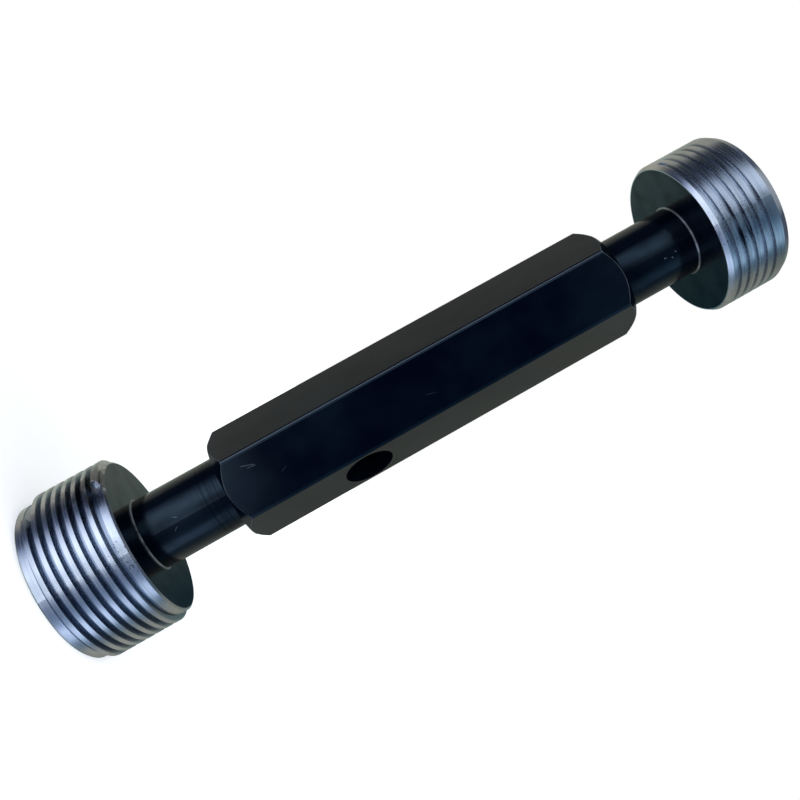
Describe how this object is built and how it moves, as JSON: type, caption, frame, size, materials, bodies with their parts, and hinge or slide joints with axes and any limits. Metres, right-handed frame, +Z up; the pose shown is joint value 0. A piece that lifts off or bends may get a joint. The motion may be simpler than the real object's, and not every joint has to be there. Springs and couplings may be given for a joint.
{
  "type": "thread plug gauge",
  "caption": "Double-ended thread plug gauge: black hexagonal handle with a ground Acme GO plug at one end and a shorter truncated NOT GO plug at the other.",
  "frame": {"origin": "centre of the GO plug's outer end face, on which the gauge stands", "axes": "+Z up along the gauge's axis from the GO plug to the NOT GO plug; +X square to one flat of the hexagonal handle"},
  "size_m": [0.0365, 0.0366, 0.1622],
  "materials": {
    "black_oxide_steel": "black oxide",
    "ground_steel": "ground, neck black"
  },
  "bodies": {
    "root": {"handle": "black_oxide_steel", "go_member": "ground_steel", "not_go_member": "ground_steel"}
  },
  "joints": []
}
